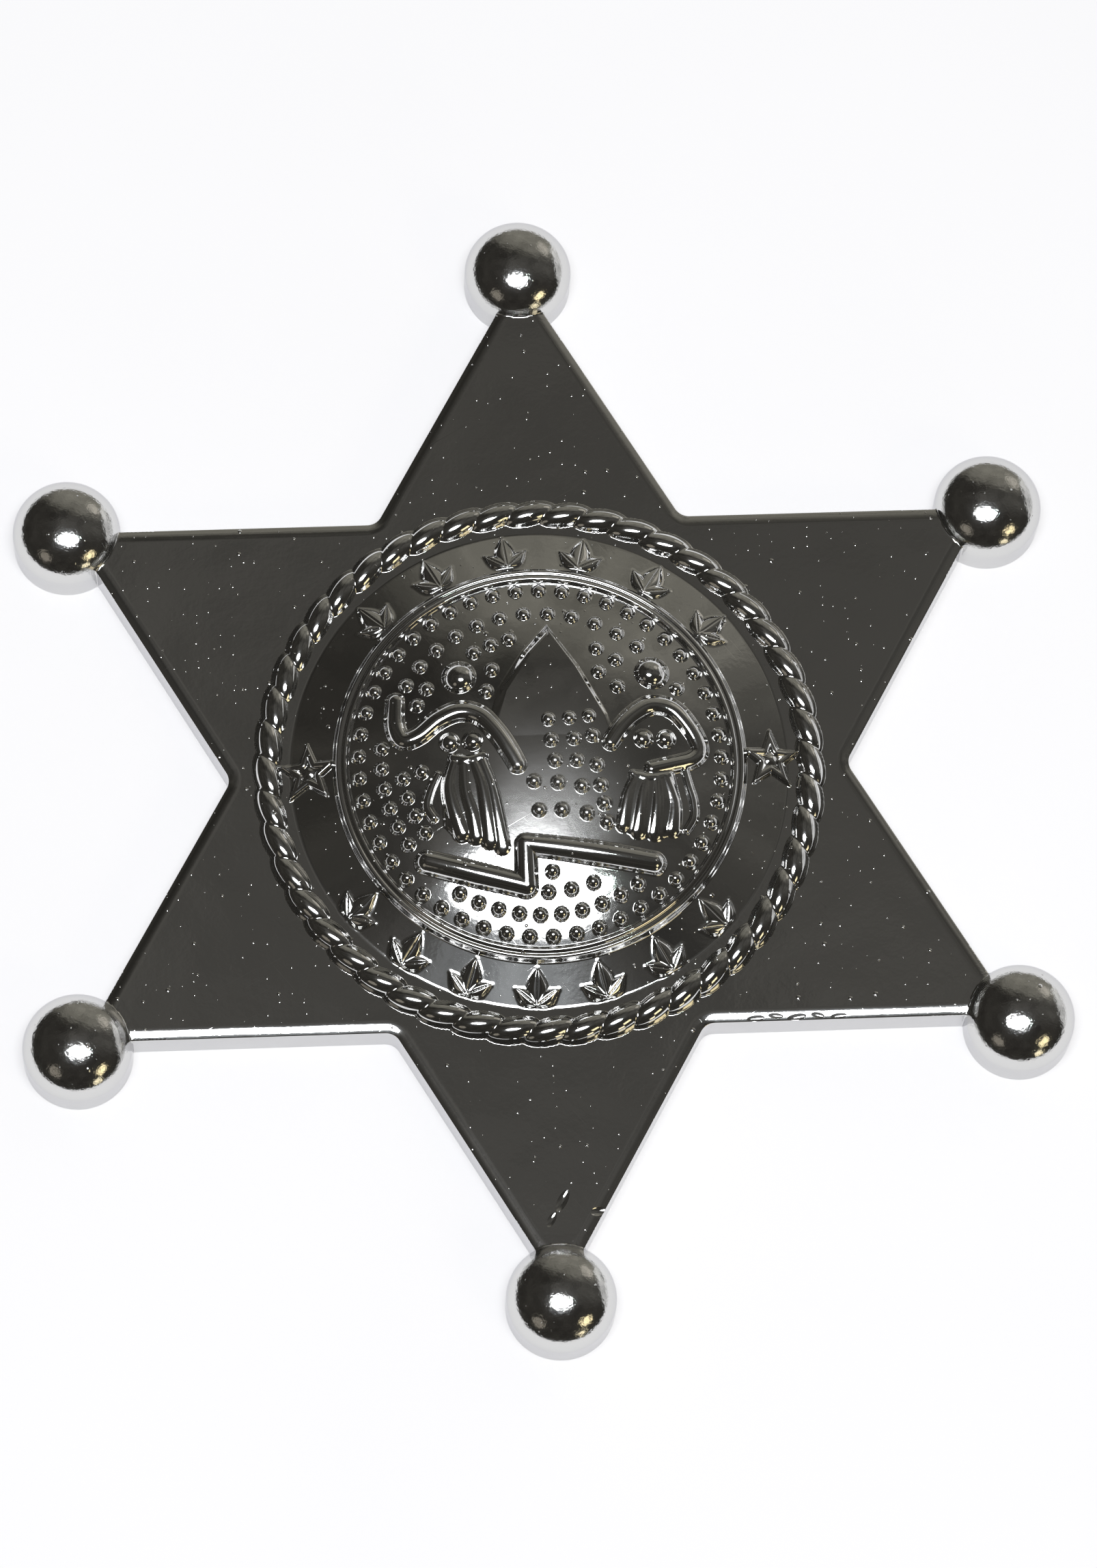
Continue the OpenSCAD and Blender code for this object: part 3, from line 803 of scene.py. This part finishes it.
# Marks in the plating: three near the lowest ball, five along an edge of the lower right arm and
# one on the upper left ball
# Columns: x, y, z, half length, half width, angle, height
MARKS = [(0.35, -32.9, 3.2, 0.9, 0.36, 62, -0.13), (-0.5, -34.3, 3.2, 0.6, 0.28, 60, -0.08),
         (2.95, -33.75, 3.2, 0.6, 0.34, 12, -0.11),
         (15.1, -19.6, 3.2, 0.75, 0.26, 4, -0.09), (16.6, -19.45, 3.2, 0.6, 0.22, -6, -0.08),
         (18.1, -19.6, 3.2, 0.8, 0.28, 8, -0.1), (19.7, -19.5, 3.2, 0.55, 0.24, -12, -0.08),
         (21.2, -19.6, 3.2, 0.7, 0.24, 5, -0.08), (-34.67, 21.23, 4.5, 0.4, 0.16, 75, -0.08)]
# Pin: two tones, range of roughness, and the grain's stretch and its height in metres
STEEL_TONES = ((0.52, 0.52, 0.5), (0.7, 0.7, 0.68))
STEEL_ROUGH = (0.22, 0.42)
STEEL_GRAIN = (60, 4000, 4000)
STEEL_GRAIN_H = 0.000006


def new_material(name):
    material = bpy.data.materials.new(name)
    material.use_nodes = True
    nodes = material.node_tree.nodes
    return material, nodes, material.node_tree.links, nodes["Principled BSDF"]


def feed(links, sockets, values):
    """Links each value that is another node's output, and sets the others."""
    for socket, value in zip(sockets, values):
        if isinstance(value, bpy.types.NodeSocket):
            links.new(value, socket)
        else:
            socket.default_value = value


def math_node(nodes, links, operation, *values, clamp=False):
    node = nodes.new("ShaderNodeMath")
    node.operation = operation
    node.use_clamp = clamp
    feed(links, node.inputs, values)
    return node.outputs[0]


def vector_node(nodes, links, operation, *values, result="Vector"):
    node = nodes.new("ShaderNodeVectorMath")
    node.operation = operation
    feed(links, node.inputs, values)
    return node.outputs[result]


def scaled(nodes, links, vector, scale):
    """A vector times a number."""
    node = nodes.new("ShaderNodeVectorMath")
    node.operation = "SCALE"
    feed(links, (node.inputs[0], node.inputs["Scale"]), (vector, scale))
    return node.outputs["Vector"]


def map_range(nodes, links, value, before, after, interpolation="LINEAR"):
    """A value moved from one range to another, and held inside it."""
    node = nodes.new("ShaderNodeMapRange")
    node.interpolation_type = interpolation
    names = ("Value", "From Min", "From Max", "To Min", "To Max")
    feed(links, [node.inputs[name] for name in names], (value, *before, *after))
    return node.outputs["Result"]


def two_tones(nodes, links, share, tones):
    """A colour between two tones."""
    node = nodes.new("ShaderNodeValToRGB")
    for element, tone in zip(node.color_ramp.elements, tones):
        element.color = (*tone, 1)
    links.new(share, node.inputs["Fac"])
    return node.outputs["Color"]


def noise(nodes, links, where, scale, detail=2, rough=0.5):
    node = nodes.new("ShaderNodeTexNoise")
    links.new(where, node.inputs["Vector"])
    node.inputs["Scale"].default_value = scale
    node.inputs["Detail"].default_value = detail
    node.inputs["Roughness"].default_value = rough
    return node.outputs["Fac"]


def bump(nodes, links, height, distance, before=None):
    """Adds a height in metres to the surface's normal."""
    node = nodes.new("ShaderNodeBump")
    node.inputs["Strength"].default_value = 1
    node.inputs["Distance"].default_value = distance
    links.new(height, node.inputs["Height"])
    if before is not None:
        links.new(before, node.inputs["Normal"])
    return node.outputs["Normal"]


def pips(nodes, links, where, up, cell, share, radius):
    """Small round pips in the plating, seen from above: one in some cells of a random pattern."""
    node = nodes.new("ShaderNodeTexVoronoi")
    node.voronoi_dimensions = "2D"
    links.new(where, node.inputs["Vector"])
    node.inputs["Scale"].default_value = 1 / cell
    parts = nodes.new("ShaderNodeSeparateColor")
    links.new(node.outputs["Color"], parts.inputs["Color"])
    chosen = math_node(nodes, links, "LESS_THAN", parts.outputs[0], share)
    spread, least = radius / cell, PIP_LEAST * radius / cell
    size = math_node(nodes, links, "MULTIPLY_ADD", parts.outputs[1], spread, least)
    reach = math_node(nodes, links, "DIVIDE", node.outputs["Distance"], size)
    square = math_node(nodes, links, "MULTIPLY", reach, reach)
    shape = math_node(nodes, links, "SUBTRACT", 1, square, clamp=True)
    shape = math_node(nodes, links, "MULTIPLY", shape, chosen)
    return math_node(nodes, links, "MULTIPLY", shape, up)


def in_box(nodes, links, where, size, angle, at=(0, 0, 0)):
    """Coordinates in a turned box, where its half sizes count as 1."""
    node = nodes.new("ShaderNodeMapping")
    node.vector_type = "TEXTURE"
    links.new(where, node.inputs["Vector"])
    node.inputs["Location"].default_value = Vector(at) * MM
    node.inputs["Rotation"].default_value = (0, 0, math.radians(angle))
    node.inputs["Scale"].default_value = Vector(size) * MM
    return node.outputs["Vector"]


def mark(nodes, links, where, x, y, z, half_l, half_w, angle):
    """One long or round mark: 1 in its middle, falling to 0 at its edge."""
    place = in_box(nodes, links, where, (half_l, half_w, half_w), angle, (x, y, z))
    length = vector_node(nodes, links, "LENGTH", place, result="Value")
    square = math_node(nodes, links, "MULTIPLY", length, length)
    return math_node(nodes, links, "SUBTRACT", 1, square, clamp=True)


def scratches(nodes, links, where, angle, length):
    """A few fine scratches, all in about one direction."""
    along_it = in_box(nodes, links, where, (length, length / SCRATCH_SLIM, length), angle)
    lines = noise(nodes, links, along_it, 1, 1, 0.4)
    deep = math_node(nodes, links, "SUBTRACT", lines, SCRATCH_FROM)
    return math_node(nodes, links, "MULTIPLY", deep, SCRATCH_GAIN, clamp=True)


def on_balls(nodes, links, where):
    """1 on the ball tips, 0 on the rest of the badge."""
    flat = vector_node(nodes, links, "MULTIPLY", where, (1, 1, 0))
    length = vector_node(nodes, links, "LENGTH", flat, result="Value")
    return map_range(nodes, links, length, BALL_MASK_R, (0, 1))


def chrome_material():
    """Bright plating over moulded plastic: nearly a mirror under clear lacquer, with faults."""
    material, nodes, links, shader = new_material("bright_plating")
    where = nodes.new("ShaderNodeTexCoord").outputs["Object"]
    shader.inputs["Metallic"].default_value = 1
    shader.inputs["Coat Weight"].default_value = COAT
    shader.inputs["Coat Roughness"].default_value = COAT_ROUGH
    tone = two_tones(nodes, links, noise(nodes, links, where, *TONE_NOISE), PLATING_TONES)
    links.new(tone, shader.inputs["Base Color"])
    shader.inputs["Specular Tint"].default_value = GRAZING_TINT
    patches = noise(nodes, links, where, *ROUGH_NOISE)
    gloss = map_range(nodes, links, patches, (0, 1), PLATING_ROUGH)
    balls = on_balls(nodes, links, where)
    worn = mark(nodes, links, where, *WORN)
    rough = math_node(nodes, links, "MULTIPLY_ADD", worn, WORN_ROUGH, gloss)
    rough = math_node(nodes, links, "MULTIPLY_ADD", balls, BALL_ROUGH, rough)
    links.new(rough, shader.inputs["Roughness"])
    surface = None
    for scale, detail, height in WAVES:
        surface = bump(nodes, links, noise(nodes, links, where, scale, detail), height, surface)
    grain = noise(nodes, links, where, *BALL_GRAIN)
    grain = math_node(nodes, links, "MULTIPLY", grain, balls)
    surface = bump(nodes, links, grain, BALL_GRAIN_H, surface)
    for angle, length in SCRATCHES:
        lines = scratches(nodes, links, where, angle, length)
        surface = bump(nodes, links, lines, SCRATCH_H, surface)
    facing = nodes.new("ShaderNodeSeparateXYZ")
    links.new(nodes.new("ShaderNodeNewGeometry").outputs["Normal"], facing.inputs["Vector"])
    up = math_node(nodes, links, "POWER", facing.outputs["Z"], 2)
    for cell, share, radius, height in PIPS:
        spots = pips(nodes, links, where, up, cell * MM, share, radius * MM)
        surface = bump(nodes, links, spots, height * MM, surface)
    for *row, height in MARKS:
        surface = bump(nodes, links, mark(nodes, links, where, *row), height * MM, surface)
    links.new(surface, shader.inputs["Normal"])
    return material


def steel_material():
    """Plain nickel-plated steel, brushed along the bar."""
    material, nodes, links, shader = new_material("pin_steel")
    where = nodes.new("ShaderNodeTexCoord").outputs["Object"]
    stretch = nodes.new("ShaderNodeMapping")
    links.new(where, stretch.inputs["Vector"])
    stretch.inputs["Scale"].default_value = STEEL_GRAIN
    grain = noise(nodes, links, stretch.outputs["Vector"], 1, 3, 0.6)
    shader.inputs["Metallic"].default_value = 1
    links.new(two_tones(nodes, links, grain, STEEL_TONES), shader.inputs["Base Color"])
    links.new(map_range(nodes, links, grain, (0, 1), STEEL_ROUGH), shader.inputs["Roughness"])
    links.new(bump(nodes, links, grain, STEEL_GRAIN_H), shader.inputs["Normal"])
    return material


# Camera: the photograph looks down from the star's lower side
IMAGE_H = 2296
FOCAL_PX = 10000
SENSOR = 36
TILT, ROLL, TURN = math.radians(-17.76), math.radians(1.75), math.radians(2.36)
CAMERA_AT = Vector((0.68, -1.00, 506.6))
CLIP = (0.01, 100)


def camera_frame():
    """Rotation from the camera's axes to the badge's, and the camera's place."""
    to_camera = Matrix.Rotation(TILT, 3, "X") @ Matrix.Rotation(ROLL, 3, "Y")
    to_badge = (to_camera @ Matrix.Rotation(TURN, 3, "Z")).transposed()
    return to_badge, (to_badge @ CAMERA_AT + Vector((0, 0, PLATE_T))) * MM


def add_camera():
    rotation, place = camera_frame()
    data = bpy.data.cameras.new("photo_view")
    data.sensor_width = SENSOR
    data.lens = SENSOR * FOCAL_PX / IMAGE_H
    data.clip_start, data.clip_end = CLIP
    camera = bpy.data.objects.new("photo_view", data)
    bpy.context.scene.collection.objects.link(camera)
    camera.matrix_world = Matrix.Translation(place) @ rotation.to_4x4()
    bpy.context.scene.camera = camera


# The white table. Its half width is in metres
FLOOR_HALF = 4.0
FLOOR_NOISE = 20
FLOOR_TONES = ((0.86, 0.86, 0.88), (0.89, 0.89, 0.91))
FLOOR_GLOW = 0.56
FLOOR_ROUGH = 0.9


def add_floor():
    half = FLOOR_HALF
    mesh = bpy.data.meshes.new("floor")
    corners = [(-half, -half, 0), (half, -half, 0), (half, half, 0), (-half, half, 0)]
    mesh.from_pydata(corners, [], [(0, 1, 2, 3)])
    floor = bpy.data.objects.new("floor", mesh)
    bpy.context.scene.collection.objects.link(floor)
    material, nodes, links, shader = new_material("white_table")
    where = nodes.new("ShaderNodeTexCoord").outputs["Object"]
    tone = two_tones(nodes, links, noise(nodes, links, where, FLOOR_NOISE), FLOOR_TONES)
    links.new(tone, shader.inputs["Base Color"])
    links.new(tone, shader.inputs["Emission Color"])
    shader.inputs["Emission Strength"].default_value = FLOOR_GLOW
    shader.inputs["Roughness"].default_value = FLOOR_ROUGH
    shader.inputs["Specular IOR Level"].default_value = 0
    floor.data.materials.append(material)


def sky_direction(azimuth, elevation):
    """The direction to a place in the sky. Azimuth runs from +x over +y, angles are in degrees."""
    a, e = math.radians(azimuth), math.radians(elevation)
    return Vector((math.cos(a) * math.cos(e), math.sin(a) * math.cos(e), math.sin(e)))


# Flat lights. Columns: name, azimuth, elevation, distance, size, radiance, colour, shape
PANELS = [
    ("softbox", -98, 80.5, 0.56, (0.3, 0.175), 9, (0.97, 0.98, 1), "ELLIPSE"),
    ("small_lamp", -30, 74, 1.2, (0.045, 0.045), 40, (0.86, 1, 0.95), "DISK"),
    ("warm_card", -44, 30, 1.2, (0.34, 0.3), 1.7, (1, 0.84, 0.5), "RECTANGLE"),
    ("second_warm_card", -60, 12, 1.2, (0.24, 0.24), 1.5, (1, 0.88, 0.6), "RECTANGLE"),
]
# Strength of the even light from all round, which reflections don't show
OVERHEAD = 0.3


def add_panel(name, direction, distance, size, radiance, colour, shape):
    """A flat light that faces the badge, with an even brightness."""
    data = bpy.data.lights.new(name, "AREA")
    data.shape = shape
    data.size, data.size_y = size
    area = size[0] * size[1] * (math.pi / 4 if shape in ("DISK", "ELLIPSE") else 1)
    data.energy = radiance * area * math.pi
    data.color = colour
    lamp = bpy.data.objects.new(name, data)
    bpy.context.scene.collection.objects.link(lamp)
    lamp.location = direction * distance
    lamp.rotation_mode = "QUATERNION"
    lamp.rotation_quaternion = direction.to_track_quat("Z", "Y")


def add_lights():
    for name, azimuth, elevation, *rest in PANELS:
        add_panel(name, sky_direction(azimuth, elevation), *rest)
    sun = bpy.data.lights.new("overhead", "SUN")
    sun.angle = math.pi
    sun.energy = OVERHEAD
    lamp = bpy.data.objects.new("overhead", sun)
    bpy.context.scene.collection.objects.link(lamp)
    lamp.visible_glossy = False


# The room's light: its ground tone, how far the glows' edges wander, and how mottled it is
ROOM_BASE = (0.033, 0.031, 0.027)
WANDER = 0.24
WANDER_SCALE = 6
WANDER_DETAIL = 3
MOTTLE_NOISE = (4.5, 4, 0.65)
MOTTLE_FROM = (0.3, 0.7)
MOTTLE_TO = (0.55, 1.45)
# Glows. Columns: azimuth, elevation, radius, fade, radiance, colour
GLOWS = [
    (-98, 80.5, 9, 10, 0.26, (0.88, 0.94, 1.0)),
    (90, 86, 8, 30, 0.042, (1.0, 0.97, 0.92)),
    (74, 12, 22, 30, 0.19, (1.0, 0.96, 0.82)),
    (25, 36, 14, 26, 0.04, (1.0, 0.97, 0.9)),
    (48, 26, 8, 3, 0.34, (1.0, 0.93, 0.82)),
    (-138, 32, 8, 5, 0.24, (1.0, 0.9, 0.75)),
    (20, -10, 29, 2, 0.6, (1.0, 1.0, 1.0)),
]


def add_world():
    """A dim room round the badge, lighter near the softbox and low behind the star's top point."""
    world = bpy.data.worlds.new("room")
    bpy.context.scene.world = world
    world.use_nodes = True
    nodes, links = world.node_tree.nodes, world.node_tree.links
    straight = nodes.new("ShaderNodeTexCoord").outputs["Generated"]
    wobble = nodes.new("ShaderNodeTexNoise")
    links.new(straight, wobble.inputs["Vector"])
    wobble.inputs["Scale"].default_value = WANDER_SCALE
    wobble.inputs["Detail"].default_value = WANDER_DETAIL
    wander = wobble.outputs["Color"]
    shift = vector_node(nodes, links, "MULTIPLY_ADD", wander, [WANDER] * 3, [-WANDER / 2] * 3)
    moved = vector_node(nodes, links, "ADD", straight, shift)
    where = vector_node(nodes, links, "NORMALIZE", moved)
    total = ROOM_BASE
    for azimuth, elevation, radius, fade, radiance, colour in GLOWS:
        middle = sky_direction(azimuth, elevation)
        nearness = vector_node(nodes, links, "DOT_PRODUCT", where, middle, result="Value")
        angle = math_node(nodes, links, "ARCCOSINE", nearness)
        fades = math.radians(radius + fade), math.radians(radius)
        mask = map_range(nodes, links, angle, fades, (0, 1), "SMOOTHSTEP")
        glow = scaled(nodes, links, Vector(colour) * radiance, mask)
        total = vector_node(nodes, links, "ADD", glow, total)
    mottled = noise(nodes, links, where, *MOTTLE_NOISE)
    mottled = map_range(nodes, links, mottled, MOTTLE_FROM, MOTTLE_TO)
    links.new(scaled(nodes, links, total, mottled), nodes["Background"].inputs["Color"])


def build():
    chrome = chrome_material()
    build_seal(chrome)
    build_borders(chrome)
    build_posts(chrome)
    build_plate(chrome)
    build_balls(chrome)
    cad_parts["pin_back"].data.materials.clear()
    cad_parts["pin_back"].data.materials.append(steel_material())


build()
add_floor()
add_camera()
add_lights()
add_world()
bpy.context.scene.view_settings.view_transform = "Standard"
